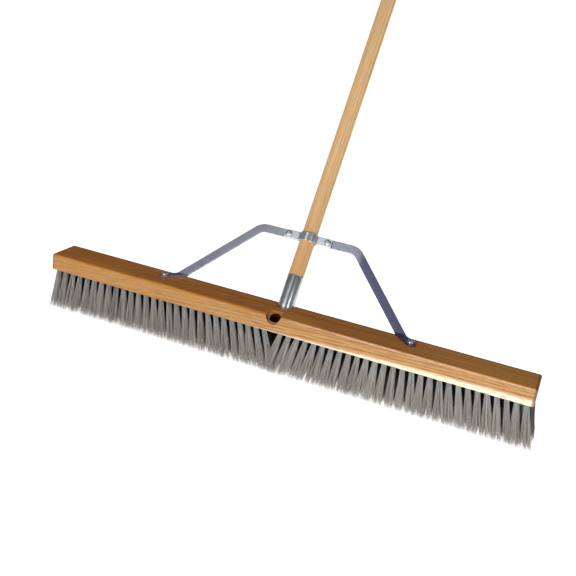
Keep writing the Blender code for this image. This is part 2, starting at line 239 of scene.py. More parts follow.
class Edit:
    """An edit session on one piece: parts of it are picked by place, then worked on."""

    def __init__(self, piece: Piece) -> None:
        """Keep the piece to work on."""
        self.piece = piece

    def __enter__(self) -> "Edit":
        """Open the piece with nothing picked."""
        Bench.take(self.piece)
        bpy.ops.object.mode_set(mode="EDIT")
        bpy.ops.mesh.select_all(action="DESELECT")
        return self

    def __exit__(self, *_: object) -> None:
        """Close the piece again."""
        bpy.ops.object.mode_set(mode="OBJECT")

    def pick(self, kind: Pick, test: Callable[..., bool]) -> None:
        """Pick the vertices, edges or faces that pass a test.

        Args:
            kind: what is looked at.
            test: called with a vertex's place, an edge's middle and direction, or a face's
                middle and normal.
        """
        bpy.ops.mesh.select_mode(type=kind.value)
        bpy.ops.mesh.select_all(action="DESELECT")
        bm = bmesh.from_edit_mesh(self.piece.data)
        for part in {Pick.VERTS: bm.verts, Pick.EDGES: bm.edges, Pick.FACES: bm.faces}[kind]:
            if kind is Pick.VERTS:
                seen = (part.co,)
            elif kind is Pick.EDGES:
                ends = (part.verts[0].co, part.verts[1].co)
                seen = ((ends[0] + ends[1]) / 2.0, ends[1] - ends[0])
            else:
                seen = (part.calc_center_median(), part.normal)
            if test(*seen):
                part.select_set(True)
        bm.select_flush_mode()
        bmesh.update_edit_mesh(self.piece.data)

    def rim(self, height: float, beyond: float = 0.0) -> None:
        """Pick the level edges at a height, farther from the Z axis than a radius."""
        self.pick(
            Pick.EDGES,
            lambda middle, along: abs(middle.z - height) < 10.0 * NEAR
            and middle.xy.length > beyond
            and abs(along.z) < NEAR,
        )

    def push(self, by: Point) -> None:
        """Extrude what is picked by a distance."""
        bpy.ops.mesh.extrude_region_move(TRANSFORM_OT_translate={"value": by})

    def inset(self, by: float) -> None:
        """Inset the picked face."""
        bpy.ops.mesh.inset(thickness=by, use_even_offset=True)

    def bevel(self, width: float, steps: int, corners: bool = False) -> None:
        """Round the picked edges, or corners of a flat face."""
        bpy.ops.mesh.bevel(offset=width, segments=steps, affect="VERTICES" if corners else "EDGES")

    def spin(self, turn: float, steps: int, centre: Point, axis: Point) -> None:
        """Sweep the picked edge round an axis, by a right-handed turn in radians."""
        bpy.ops.mesh.spin(steps=steps, dupli=False, angle=-turn, center=centre, axis=axis)

    def turn(self, turn: float, centre: Point) -> None:
        """Turn what is picked about X, by a right-handed turn in radians."""
        bpy.ops.transform.rotate(value=-turn, orient_axis="X", orient_type="GLOBAL", center_override=centre)

    def score(self, at: Point, normal: Point, fill: bool = False, keep_below: bool = False) -> None:
        """Cut the whole piece along a plane, keeping both halves unless told otherwise."""
        bpy.ops.mesh.select_all(action="SELECT")
        bpy.ops.mesh.bisect(plane_co=at, plane_no=normal, use_fill=fill, clear_outer=keep_below)

    def outward(self) -> None:
        """Merge doubles and point every face outwards."""
        bpy.ops.mesh.select_all(action="SELECT")
        bpy.ops.mesh.remove_doubles(threshold=NEAR)
        bpy.ops.mesh.normals_make_consistent(inside=False)


# ------------------------------------------------------------- the finishes


class Nodes:
    """A material's node tree, built from its shader backwards."""

    def __init__(self, name: str) -> None:
        """Start a material with one Principled shader."""
        self.material = bpy.data.materials.new(name)
        self.material.use_nodes = True
        self.tree = self.material.node_tree
        self.shader = self.tree.nodes["Principled BSDF"]

    def add(self, kind: str, **settings: object) -> bpy.types.Node:
        """Add a node with these settings."""
        node = self.tree.nodes.new(kind)
        for name, value in settings.items():
            setattr(node, name, value)
        return node

    def join(self, source: Socket, target: Socket) -> None:
        """Join two sockets."""
        self.tree.links.new(source, target)

    def set(self, **values: object) -> None:
        """Set the shader's own sockets, by their names with _ for a space."""
        for name, value in values.items():
            self.shader.inputs[name.replace("_", " ")].default_value = value

    def place(self, scale: Point, offset: Point = (0.0, 0.0, 0.0), turn: Point = (0.0, 0.0, 0.0)) -> Socket:
        """Return Object coordinates that are turned, scaled and moved.

        Args:
            scale: repeats per metre along each axis, after turning.
            offset: a move in metres, before turning.
            turn: right-handed turns in radians.

        Returns:
            The coordinates.
        """
        coordinates = self.add("ShaderNodeTexCoord").outputs["Object"]
        moved = self.add("ShaderNodeMapping")
        moved.inputs["Location"].default_value = offset
        self.join(coordinates, moved.inputs["Vector"])
        turned = self.add("ShaderNodeMapping")
        turned.inputs["Rotation"].default_value = turn
        self.join(moved.outputs["Vector"], turned.inputs["Vector"])
        scaled = self.add("ShaderNodeMapping")
        scaled.inputs["Scale"].default_value = scale
        self.join(turned.outputs["Vector"], scaled.inputs["Vector"])
        return scaled.outputs["Vector"]

    def noise(self, where: Socket, detail: float = 3.0, rough: float = 0.5, bend: float = 0.0) -> Socket:
        """Return fractal noise, from 0 to 1 around 0.5.

        Args:
            where: its coordinates.
            detail: how many octaves it has.
            rough: how strong the finer octaves are.
            bend: how far it is distorted.

        Returns:
            The noise.
        """
        node = self.add("ShaderNodeTexNoise")
        node.inputs["Scale"].default_value = 1.0
        node.inputs["Detail"].default_value = detail
        node.inputs["Roughness"].default_value = rough
        node.inputs["Distortion"].default_value = bend
        self.join(where, node.inputs["Vector"])
        return node.outputs["Fac"]

    def rings(self, along: str, scale: float, bend: float, where: Socket) -> Socket:
        """Return growth rings round an axis.

        Args:
            along: the axis, X, Y or Z.
            scale: how close the rings are.
            bend: how far they wander.
            where: their coordinates.

        Returns:
            The rings, from 0 in early wood to 1 in late wood.
        """
        node = self.add("ShaderNodeTexWave", wave_type="RINGS", rings_direction=along, wave_profile="SIN")
        settings = {
            "Scale": scale, "Distortion": bend, "Detail": 3.0, "Detail Scale": 1.6, "Detail Roughness": 0.55
        }
        for name, value in settings.items():
            node.inputs[name].default_value = value
        self.join(where, node.inputs["Vector"])
        return node.outputs["Fac"]

    def ramp(self, value: Socket, *stops: tuple[float, Colour]) -> Socket:
        """Return a colour that follows a value through these stops."""
        node = self.add("ShaderNodeValToRGB")
        points = node.color_ramp.elements
        while len(points) < len(stops):
            points.new(0.5)
        for point, (at, colour) in zip(points, stops):
            point.position = at
            point.color = (*colour, 1.0)
        self.join(value, node.inputs["Fac"])
        return node.outputs["Color"]

    def level(
        self, value: Socket, low: float, high: float, out_low: float = 0.0, out_high: float = 1.0
    ) -> Socket:
        """Return a value stretched from one range to another, smoothly and clamped."""
        node = self.add("ShaderNodeMapRange", interpolation_type="SMOOTHSTEP")
        for name, number in zip(("From Min", "From Max", "To Min", "To Max"), (low, high, out_low, out_high)):
            node.inputs[name].default_value = number
        self.join(value, node.inputs["Value"])
        return node.outputs["Result"]

    def math(self, how: str, first: Socket, second: Socket | float) -> Socket:
        """Return the sum, product or the like of two values."""
        node = self.add("ShaderNodeMath", operation=how)
        self.join(first, node.inputs[0])
        if isinstance(second, float):
            node.inputs[1].default_value = second
        else:
            self.join(second, node.inputs[1])
        return node.outputs["Value"]

    def mix(
        self, share: Socket | float, first: Socket | Colour, second: Socket | Colour, how: str = "MIX"
    ) -> Socket:
        """Return two colours mixed.

        Args:
            share: how much of the second one.
            first: a colour.
            second: another colour.
            how: the way of mixing.

        Returns:
            The mixed colour.
        """
        node = self.add("ShaderNodeMix", data_type="RGBA", blend_type=how, clamp_factor=True)
        for source, socket in ((share, node.inputs[0]), (first, node.inputs[6]), (second, node.inputs[7])):
            if isinstance(source, float):
                socket.default_value = source
            elif isinstance(source, tuple):
                socket.default_value = (*source, 1.0)
            else:
                self.join(source, socket)
        return node.outputs[2]

    def axis(self, name: str) -> Socket:
        """Return one Object coordinate, X, Y or Z."""
        split = self.add("ShaderNodeSeparateXYZ")
        self.join(self.add("ShaderNodeTexCoord").outputs["Object"], split.inputs[0])
        return split.outputs[name]

    def carried(self, name: str) -> Socket:
        """Return a value that the mesh carries."""
        return self.add("ShaderNodeAttribute", attribute_name=name).outputs["Fac"]

    def bump(self, height: Socket, depth: float, strength: float = 1.0) -> None:
        """Raise the surface by a height from 0 to 1, times a depth in metres."""
        node = self.add("ShaderNodeBump")
        node.inputs["Strength"].default_value = strength
        node.inputs["Distance"].default_value = depth
        self.join(height, node.inputs["Height"])
        self.join(node.outputs["Normal"], self.shader.inputs["Normal"])


@dataclass(frozen=True)
class LacqueredWood:
    """The block's hardwood under lacquer: long fibres, arched growth rings, open pores, darker end grain,
    painted highlights along its front edges and painted shade on its top, its top back edge, its ends and
    inside its bores.
    """

    half_length: float = 0.4572
    half_width: float = 0.035
    top: float = 0.108
    bottom: float = 0.076
    lean: float = math.radians(33.0)
    seat: Point = (0.0, 0.0217, 0.0993)
    bore: float = 0.0099

    def make(self) -> bpy.types.Material:
        """Return the block's material."""
        n = Nodes("lacquered_wood")
        fibre = n.noise(n.place((14.0, 560.0, 560.0)), 5.0, 0.62, 0.2)
        pores = n.level(n.noise(n.place((95.0, 2100.0, 2100.0)), 2.0, 0.5), 0.62, 0.74)
        wood = self._weather(n, self._grain(n, fibre, pores))
        bored = self._bored(n)
        # Inside the bores the colour is near black: partly the bare, unlacquered end grain, partly painted
        # shade in the deep recesses.
        n.join(n.mix(bored, wood, (0.040, 0.010, 0.004)), n.shader.inputs["Base Color"])
        n.join(n.level(fibre, 0.3, 0.7, 0.38, 0.52), n.shader.inputs["Roughness"])
        n.join(n.level(bored, 0.0, 1.0, 0.28, 0.0), n.shader.inputs["Coat Weight"])
        n.join(n.level(bored, 0.0, 1.0, 0.18, 0.0), n.shader.inputs["Specular IOR Level"])
        n.set(Coat_Roughness=0.14, Coat_IOR=1.5)
        relief = n.math("MULTIPLY_ADD", pores, -0.8)
        n.join(fibre, relief.node.inputs[2])
        n.bump(relief, 0.00008)
        return n.material

    def _grain(self, n: Nodes, fibre: Socket, pores: Socket) -> Socket:
        """Return the clean wood's colour.

        Args:
            n: the material being made.
            fibre: the fine lengthwise fibres, from 0 to 1.
            pores: 1 in the open pores.

        Returns:
            The colour.
        """
        rings = n.rings("X", 58.0, 4.6, n.place((0.16, 1.0, 1.0), (0.52, 0.086, -0.045), (0.0, 0.02, -0.05)))
        streak = n.noise(n.place((3.2, 95.0, 95.0), (0.3, 0.1, 0.2)), 3.0, 0.5)
        broad = n.noise(n.place((2.4, 14.0, 14.0), (1.7, 0.0, 0.4)), 2.0, 0.5)
        wood = n.ramp(
            rings,
            (0.0, (0.50, 0.265, 0.086)),
            (0.45, (0.445, 0.225, 0.064)),
            (0.8, (0.345, 0.155, 0.036)),
            (1.0, (0.245, 0.098, 0.020)),
        )
        wood = n.mix(n.level(fibre, 0.34, 0.70, 0.0, 0.8), wood, (0.56, 0.32, 0.118))
        wood = n.mix(n.level(streak, 0.44, 0.74, 0.0, 0.45), wood, (0.27, 0.105, 0.020))
        wood = n.mix(n.level(n.axis("X"), -0.42, 0.10, 0.6, 0.0), wood, (0.46, 0.185, 0.028))
        wood = n.mix(n.level(broad, 0.40, 0.70, 0.0, 0.35), wood, (0.54, 0.32, 0.115))
        ticks = n.level(n.noise(n.place((46.0, 900.0, 900.0), (0.2, 0.6, 0.1)), 3.0, 0.55), 0.52, 0.70)
        wood = n.mix(n.math("MULTIPLY", ticks, 0.55), wood, (0.24, 0.094, 0.020))
        return n.mix(pores, wood, (0.11, 0.040, 0.009))

    def _weather(self, n: Nodes, wood: Socket) -> Socket:
        """Return the wood with painted shade on its top, a painted patch of light on the top's right, painted
        highlights along its lower and upper front edges, painted shade along its top back edge, and ends that
        are darker end grain and painted shade.
        """
        patchy = n.noise(n.place((9.0, 40.0, 40.0), (0.6, 0.0, 0.0)), 3.0, 0.6)
        on_top = n.level(n.axis("Z"), self.top - 0.0035, self.top - 0.0006, 0.0, 0.86)
        streak = n.noise(n.place((2.6, 150.0, 60.0), (0.8, 0.3, 0.0)), 4.0, 0.62)
        # Painted shade: the top face is darkened and reddened where it catches less light; the streak noise
        # adds darker streaks along it.
        top_shade_and_streaks = n.mix(n.level(patchy, 0.36, 0.64), (0.86, 0.265, 0.018), (1.0, 0.390, 0.036))
        top_shade_and_streaks = n.mix(n.level(streak, 0.42, 0.66, 0.0, 0.7), top_shade_and_streaks, (0.48, 0.130, 0.008))
        top_shaded = n.mix(on_top, wood, n.mix(0.45, wood, top_shade_and_streaks, "MULTIPLY"))
        wood = n.mix(on_top, wood, n.mix(0.75, top_shaded, top_shade_and_streaks))
        # Painted light: the right part of the top face is lightened towards a bright orange.
        painted_top_light = n.math("MULTIPLY", on_top, n.level(n.axis("X"), 0.14, 0.34, 0.0, 0.30))
        wood = n.mix(painted_top_light, wood, (1.0, 0.50, 0.085))
        # Painted highlight: a patchy pale band along the lower front edge, taller towards the right end; the
        # same patchy mask breaks up the top edge highlight below.
        highlight_breakup = n.level(n.noise(n.place((70.0, 200.0, 420.0)), 4.0, 0.65), 0.30, 0.58, 0.25, 0.95)
        reach = n.level(n.axis("X"), -0.20, 0.46, self.bottom - 0.001, self.bottom + 0.012)
        low_edge_highlight = n.level(n.math("SUBTRACT", n.axis("Z"), reach), 0.0035, -0.0035)
        wood = n.mix(n.math("MULTIPLY", low_edge_highlight, highlight_breakup), wood, (0.98, 0.88, 0.68))
        # Painted highlight: a patchy pale pinkish line along the top front edge, from the middle to the right
        # end.
        near = n.level(n.axis("Y"), -self.half_width + 0.0030, -self.half_width + 0.0008)
        crest = n.math("MULTIPLY", near, n.level(n.axis("Z"), self.top - 0.0036, self.top - 0.0016))
        crest = n.math("MULTIPLY", crest, n.level(n.axis("X"), 0.0, 0.06, 0.0, 0.8))
        wood = n.mix(n.math("MULTIPLY", crest, highlight_breakup), wood, (0.95, 0.66, 0.50))
        # Painted shade: a dark line along the top back edge, which faces away from the light.
        rim = n.math("MULTIPLY", n.level(n.axis("Y"), 0.0265, 0.0300), n.level(n.axis("Z"), 0.1040, 0.1062))
        wood = n.mix(n.math("MULTIPLY", rim, 0.75), wood, (0.10, 0.042, 0.014))
        # Darker end grain, with painted shade on the end faces, which are turned from the light.
        far = n.math("ABSOLUTE", n.axis("X"), 0.0)
        ends = n.level(far, self.half_length - 0.0060, self.half_length - 0.0028, 0.0, 0.82)
        wood = n.mix(ends, wood, (0.20, 0.085, 0.028))
        return wood

    def _bored(self, n: Nodes) -> Socket:
        """Return 1 inside the two bored sockets, where no lacquer reaches, and 0 elsewhere."""
        inside = None
        for side in (1.0, -1.0):
            away = (0.0, -side * self.seat[1], -self.seat[2])
            line = n.add("ShaderNodeSeparateXYZ")
            n.join(n.place((1.0, 1.0, 1.0), away, (side * self.lean, 0.0, 0.0)), line.inputs[0])
            squares = [n.math("MULTIPLY", line.outputs[name], line.outputs[name]) for name in ("X", "Y")]
            radius = n.math("POWER", n.math("ADD", *squares), 0.5)
            near = n.level(radius, self.bore + 0.0004, self.bore)
            bored = n.math("MULTIPLY", near, n.level(line.outputs["Z"], 0.0002, -0.0008))
            inside = n.math("MAXIMUM", bored, inside) if inside else bored
        return inside


@dataclass(frozen=True)
class HandleWood:
    """The handle's pale straight-grained wood, satin finished."""

    seat: Point = (0.0, 0.0217, 0.0993)
    lean: float = math.radians(33.0)

    def make(self) -> bpy.types.Material:
        """Return the handle's material."""
        n = Nodes("handle_wood")
        back = tuple(-value for value in self.seat)
        turn = (self.lean, 0.0, 0.0)
        rings = n.rings("Z", 95.0, 2.4, n.place((1.0, 1.0, 0.06), (0.024, back[1], back[2]), turn))
        fibre = n.noise(n.place((640.0, 640.0, 11.0), back, turn), 4.0, 0.6)
        flecks = n.level(n.noise(n.place((900.0, 900.0, 60.0), back, turn), 2.0, 0.5), 0.62, 0.76)
        broad = n.noise(n.place((22.0, 22.0, 2.6), back, turn), 2.0, 0.5)
        wood = n.ramp(
            rings,
            (0.0, (0.93, 0.590, 0.285)),
            (0.6, (0.86, 0.520, 0.232)),
            (1.0, (0.66, 0.370, 0.142)),
        )
        wood = n.mix(n.level(fibre, 0.32, 0.70, 0.0, 0.75), wood, (0.97, 0.650, 0.350))
        wood = n.mix(n.level(broad, 0.40, 0.68, 0.0, 0.45), wood, (0.72, 0.410, 0.168))
        # Painted shade: the handle is darker and more orange towards its lower end.
        wood = n.mix(n.level(n.axis("Z"), 0.10, 0.40, 0.50, 0.0), wood, (0.62, 0.310, 0.105))
        wood = n.mix(n.math("MULTIPLY", flecks, 0.7), wood, (0.36, 0.19, 0.075))
        n.join(wood, n.shader.inputs["Base Color"])
        n.join(n.level(fibre, 0.3, 0.7, 0.38, 0.52), n.shader.inputs["Roughness"])
        n.set(Coat_Weight=0.2, Coat_Roughness=0.3, Specular_IOR_Level=0.3)
        n.bump(fibre, 0.00006)
        return n.material


@dataclass(frozen=True)
class Metal:
    """A plated, drawn or cast metal: a base colour, a second tint in patches, and fine marks.

    Attributes:
        name: the finish's name.
        base: its colour.
        tint: the colour of its patches.
        rough: its least and most roughness.
        marks: repeats per metre of the fine marks along each axis.
        depth: how deep the marks are, in metres.
        dull: a darker colour in the hollows and at rubbed spots.
        turn: turns of the marks, in radians.
        metallic: how much of the surface is bare metal.
        painted_arm_shade: painted shade, a darker bluish colour on the right arm, which faces away from the
            light.
    """

    name: str
    base: Colour
    tint: Colour
    rough: Span
    marks: Point
    depth: float
    dull: Colour
    turn: Point = (0.0, 0.0, 0.0)
    metallic: float = 1.0
    painted_arm_shade: Colour | None = None

    def make(self) -> bpy.types.Material:
        """Return the metal's material."""
        n = Nodes(self.name)
        fine = n.noise(n.place(self.marks, turn=self.turn), 4.0, 0.65)
        patch = n.noise(n.place((46.0, 46.0, 46.0), (0.13, 0.4, 0.2)), 3.0, 0.55, 0.6)
        spots = n.level(n.noise(n.place((310.0, 310.0, 310.0)), 3.0, 0.6), 0.60, 0.72)
        metal = n.mix(n.level(patch, 0.38, 0.66), self.base, self.tint)
        metal = n.mix(n.math("MULTIPLY", spots, 0.25), metal, self.dull)
        metal = n.mix(n.level(fine, 0.35, 0.75, 0.0, 0.25), metal, self.dull)
        # Painted shade: the right arm, which faces away from the light, is coloured darker and bluer.
        if self.painted_arm_shade:
            metal = n.mix(n.level(n.axis("X"), 0.097, 0.112, 0.0, 0.9), metal, self.painted_arm_shade)
        n.join(metal, n.shader.inputs["Base Color"])
        rough = n.level(fine, 0.3, 0.7, *self.rough)
        n.join(n.math("ADD", rough, n.level(spots, 0.0, 1.0, 0.0, 0.06)), n.shader.inputs["Roughness"])
        n.set(Metallic=self.metallic, Specular_IOR_Level=0.5)
        n.bump(fine, self.depth)
        return n.material


@dataclass(frozen=True)
class Bristle:
    """Grey plastic bristle: pale bluish by the block, warm grey below, and pale split tips, with painted
    shade making the inner rows near black at their roots.
    """

    name: str
    root: Colour
    middle: Colour
    tip: Colour
    shadow: Colour

    def make(self) -> bpy.types.Material:
        """Return the bristle's material."""
        n = Nodes(self.name)
        along = n.carried("along")
        tone = n.carried("tone")
        below = ((0.86, self.middle), (0.97, self.tip), (1.0, self.tip))
        grey = n.ramp(along, (0.0, self.root), (0.32, self.middle), *below)
        grey = n.mix(n.level(tone, 0.0, 0.45, 0.62, 0.0), grey, self.shadow)
        grey = n.mix(n.level(tone, 0.6, 1.0, 0.0, 0.5), grey, self.tip)
        stripe = n.noise(n.place((700.0, 700.0, 90.0)), 2.0, 0.6)
        grey = n.mix(n.level(stripe, 0.35, 0.75, 0.0, 0.35), grey, self.shadow)
        # Painted shade: the inner rows are near black at their roots.
        grey = n.mix(n.carried("shade"), grey, (0.006, 0.006, 0.009))
        n.join(grey, n.shader.inputs["Base Color"])
        n.join(n.level(tone, 0.0, 1.0, 0.46, 0.66), n.shader.inputs["Roughness"])
        n.set(Specular_IOR_Level=0.35)
        n.bump(stripe, 0.00003)
        return n.material


METALS = (
    Metal(
        "ferrule_steel",
        base=(0.60, 0.64, 0.68),
        tint=(0.64, 0.67, 0.70),
        dull=(0.36, 0.39, 0.43),
        rough=(0.285, 0.31),
        marks=(600.0, 600.0, 20.0),
        depth=0.0000002,
        turn=(math.radians(33.0), 0.0, 0.0),
        metallic=0.85,
    ),
    Metal(
        "cast_zinc",
        base=(0.46, 0.47, 0.48),
        tint=(0.54, 0.54, 0.53),
        dull=(0.22, 0.22, 0.23),
        rough=(0.34, 0.52),
        marks=(420.0, 420.0, 420.0),
        depth=0.00001,
    ),
    Metal(
        "zinc_plate",
        base=(0.48, 0.50, 0.58),
        tint=(0.42, 0.42, 0.56),
        dull=(0.32, 0.32, 0.42),
        rough=(0.28, 0.36),
        marks=(70.0, 420.0, 420.0),
        depth=0.000001,
        metallic=0.9,
        # Painted shade for the right arm.
        painted_arm_shade=(0.125, 0.135, 0.250),
    ),
    Metal(
        "clamp_plate",
        base=(0.80, 0.84, 0.85),
        tint=(0.70, 0.76, 0.79),
        dull=(0.52, 0.56, 0.60),
        rough=(0.285, 0.31),
        marks=(80.0, 420.0, 420.0),
        depth=0.000001,
        metallic=0.85,
    ),
    Metal(
        "fastener_zinc",
        base=(0.66, 0.67, 0.69),
        tint=(0.60, 0.60, 0.56),
        dull=(0.30, 0.30, 0.33),
        rough=(0.285, 0.33),
        marks=(380.0, 380.0, 380.0),
        depth=0.000002,
        metallic=0.85,
    ),
)

BRISTLE = Bristle(
    "bristle", (0.52, 0.54, 0.59), (0.45, 0.425, 0.380), (0.74, 0.72, 0.67), (0.13, 0.118, 0.10)
)


class Finishes:
    """Every finish of the broom, made once and kept by its name in the record."""

    def __init__(self) -> None:
        """Make the finishes."""
        self.materials = {"lacquered_wood": LacqueredWood().make(), "handle_wood": HandleWood().make()}
        for finish in (*METALS, BRISTLE):
            self.materials[finish.name] = finish.make()

    def dress(self, piece: Piece, slot: str, body: str, *nodes: str) -> Piece:
        """Give a piece its finish, its body and the frame parts that it stands for.

        Args:
            piece: the finished piece.
            slot: the record's name of its finish.
            body: the body that it rides on.
            nodes: the frame parts that it replaces.

        Returns:
            The same piece.
        """
        piece.data.materials.clear()
        piece.data.materials.append(self.materials[slot])
        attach(piece, body)
        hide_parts(*nodes)
        log.info("%s: %d faces, on %s", piece.name, len(piece.data.polygons), body)
        return piece


# ------------------------------------------------------------- the sockets


@dataclass(frozen=True)
class SocketAxis:
    """The slanted line that a handle stands on, from its seat in the block."""

    lean: float = math.radians(33.0)
    seat_y: float = 0.0217
    seat_drop: float = 0.0087
    block_top: float = field(default_factory=lambda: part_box("block")[1].z)

    def matrix(self, back: bool = True) -> Matrix:
        """Return the seat's frame: Z up the socket, Y away from the block's middle."""
        side = 1.0 if back else -1.0
        axis = Vector((0.0, side * math.sin(self.lean), math.cos(self.lean)))
        across = Vector((1.0, 0.0, 0.0))
        where = Matrix((across, axis.cross(across), axis)).transposed().to_4x4()
        where.translation = (0.0, side * self.seat_y, self.block_top - self.seat_drop)
        return where


@dataclass(frozen=True)
class BroomThread:
    """The coarse broom thread, with flat crests and sloping flanks."""

    pitch: float = 0.00508
    crest: float = 0.009525
    root: float = 0.007625
    steps: int = 36

    def form(self, name: str, grow: float, low: float, high: float) -> Piece:
        """Return a closed threaded bar on the Z axis.

        Args:
            name: its name.
            grow: how much larger its radii are than the thread's own.
            low: its lower end.
            high: its upper end.

        Returns:
            The threaded bar.
        """
        root, crest = self.root + grow, self.crest + grow
        turns = int((high - low) / self.pitch) + 3
        start = math.floor(low / self.pitch) * self.pitch - self.pitch
        quarter = self.pitch / 4.0
        piece = Bench.upright_plate(name, (root, root + quarter), 0.0, (start, start + quarter))
        with Edit(piece) as edit:
            edit.pick(Pick.VERTS, lambda place: place.x > root + quarter / 2.0)
            bpy.ops.mesh.delete(type="VERT")
            edit.pick(Pick.VERTS, lambda place: place.z > start + quarter / 2.0)
            edit.push((crest - root, 0.0, quarter * 1.1))
            edit.push((0.0, 0.0, quarter * 0.8))
            edit.push((root - crest, 0.0, quarter * 1.1))
        Bench.modify(
            piece,
            "SCREW",
            axis="Z",
            angle=math.tau,
            screw_offset=self.pitch,
            iterations=turns,
            steps=self.steps,
            render_steps=self.steps,
            use_merge_vertices=True,
            merge_threshold=NEAR,
        )
        with Edit(piece) as edit:
            edit.score((0.0, 0.0, high), (0.0, 0.0, 1.0), fill=True, keep_below=True)
            edit.score((0.0, 0.0, low), (0.0, 0.0, -1.0), fill=True, keep_below=True)
            edit.outward()
        return piece


# --------------------------------------------------------------- the block


@dataclass
class BroomBlock:
    """The wooden block, with a handle socket on each side of its middle."""

    finishes: Finishes
    axis: SocketAxis
    thread: BroomThread
    edge_round: float = 0.004
    seat_radius: float = 0.0159
    socket_depth: float = 0.0195
    clearance: float = 0.0003
    mouth_chamfer: float = 0.0012
    screw_hole: float = 0.0029
    screw_depth: float = 0.0203
    screw_places: tuple[Point, ...] = ()

    def build(self) -> Piece:
        """Return the finished block."""
        low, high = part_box("block")
        block = Bench.bar("block_wood", tuple(high - low), tuple((low + high) / 2.0))
        with Edit(block) as edit:
            edit.pick(Pick.EDGES, lambda middle, along: True)
            edit.bevel(self.edge_round, 5)
        for back in (True, False):
            Bench.carve(block, self._socket_tools(self.axis.matrix(back)))
        for x, y, z in self.screw_places:
            drill = Bench.round_bar("pilot_drill", self.screw_hole, -self.screw_depth, 0.001, 24)
            Bench.carve(block, [Bench.place(drill, Matrix.Translation((x, y, z)))])
        Bench.finish(block, 30.0)
        Bench.even_normals(block)
        return self.finishes.dress(block, "lacquered_wood", "head", "block")

    def _socket_tools(self, where: Matrix) -> list[Piece]:
        """Return the tools for one socket: its seat, its threaded bore and its mouth."""
        seat = Bench.round_bar("seat_tool", self.seat_radius, 0.0, self.seat_radius * 2.0, 64)
        bore = self.thread.form("socket_tap", self.clearance, -self.socket_depth, 0.001)
        mouth = Bench.round_bar("mouth_tool", self.thread.crest, -self.mouth_chamfer, 0.001, 48)
        with Edit(mouth) as edit:
            edit.pick(Pick.FACES, lambda middle, normal: normal.z > 0.9)
            wide = (self.thread.crest + self.mouth_chamfer) / self.thread.crest
            bpy.ops.transform.resize(value=(wide, wide, 1.0))
        return [Bench.place(tool, where) for tool in (seat, bore, mouth)]


# --------------------------------------------------------------- the handle


@dataclass
class BroomHandle:
    """The stick, its steel ferrule and the threaded tip below it."""

    finishes: Finishes
    axis: SocketAxis
    thread: BroomThread
    radius: float = 0.0143
    length: float = 1.524
    shank_radius: float = 0.0122
    shank_start: float = 0.0035
    shoulder: float = 0.066
    top_round: float = 0.009
    plug_radius: float = 0.006
    plug_end: float = 0.034
    plug_hole_radius: float = 0.0063
    plug_hole_end: float = 0.036
    ferrule_radius: float = 0.0149
    ferrule_bore: float = 0.0125
    ferrule_start: float = 0.0033
    ferrule_end: float = 0.0657
    lip_round: float = 0.0011
    rim_round: float = 0.0005
    flange_radius: float = 0.0136
    flange_start: float = 0.0002
    flange_end: float = 0.003
    plug_round: float = 0.0008
    thread_length: float = 0.019
    lead_in: float = 0.0022

    def build(self) -> list[Piece]:
        """Return the stick, the ferrule and the tip."""
        return [self._stick(), self._ferrule(), self._tip()]

    def _stick(self) -> Piece:
        """Turn the stick: a rounded top, a shank for the ferrule and a hole for the plug."""
        stick = Bench.round_bar("handle_stick_wood", self.radius, self.shoulder, self.length, 72)
        with Edit(stick) as edit:
            edit.pick(Pick.FACES, lambda middle, normal: normal.z < -0.9)
            edit.inset(self.radius - self.shank_radius)
            edit.push((0.0, 0.0, self.shank_start - self.shoulder))
            edit.inset(self.shank_radius - self.plug_hole_radius)
            edit.push((0.0, 0.0, self.plug_hole_end - self.shank_start))
            edit.rim(self.length, self.radius / 2.0)
            edit.bevel(self.top_round, 8)
        Bench.finish(stick, 40.0, self.axis.matrix())
        return self.finishes.dress(stick, "handle_wood", "handle_stick", "handle")

    def _ferrule(self) -> Piece:
        """Draw the ferrule: a tube with a turned-in lower lip and a crisp upper rim."""
        tube = Bench.round_bar(
            "ferrule_sleeve", self.ferrule_radius, self.ferrule_start, self.ferrule_end, 72, "NOTHING"
        )
        Bench.modify(tube, "SOLIDIFY", thickness=self.ferrule_radius - self.ferrule_bore, offset=-1.0)
        with Edit(tube) as edit:
            edit.rim(self.ferrule_start, self.ferrule_radius - 0.001)
            edit.bevel(self.lip_round, 5)
            edit.rim(self.ferrule_end, self.ferrule_radius - 0.001)
            edit.bevel(self.rim_round, 3)
        Bench.finish(tube, 40.0, self.axis.matrix())
        return self.finishes.dress(tube, "ferrule_steel", "handle_collar", "ferrule")

    def _tip(self) -> Piece:
        """Cast the tip: a flange with the plug above it and the thread below."""
        tip = Bench.round_bar("threaded_tip_zinc", self.flange_radius, self.flange_start, self.flange_end, 48)
        with Edit(tip) as edit:
            edit.pick(Pick.FACES, lambda middle, normal: normal.z > 0.9)
            edit.inset(self.flange_radius - self.plug_radius)
            edit.push((0.0, 0.0, self.plug_end - self.flange_end))
            edit.bevel(self.plug_round, 2)
        lead = Bench.round_bar("lead_in", self.thread.crest + 0.0002, -self.thread_length, 0.001, 48)
        with Edit(lead) as edit:
            edit.rim(-self.thread_length)
            edit.bevel(self.lead_in, 1)
        screw = self.thread.form("thread_form", 0.0, -self.thread_length, 0.0006)
        Bench.carve(screw, [lead], "INTERSECT")
        Bench.carve(tip, [screw], "UNION")
        Bench.finish(tip, 32.0, self.axis.matrix())
        return self.finishes.dress(tip, "cast_zinc", "handle_stick", "threaded_tip")


# --------------------------------------------------------------- the brace


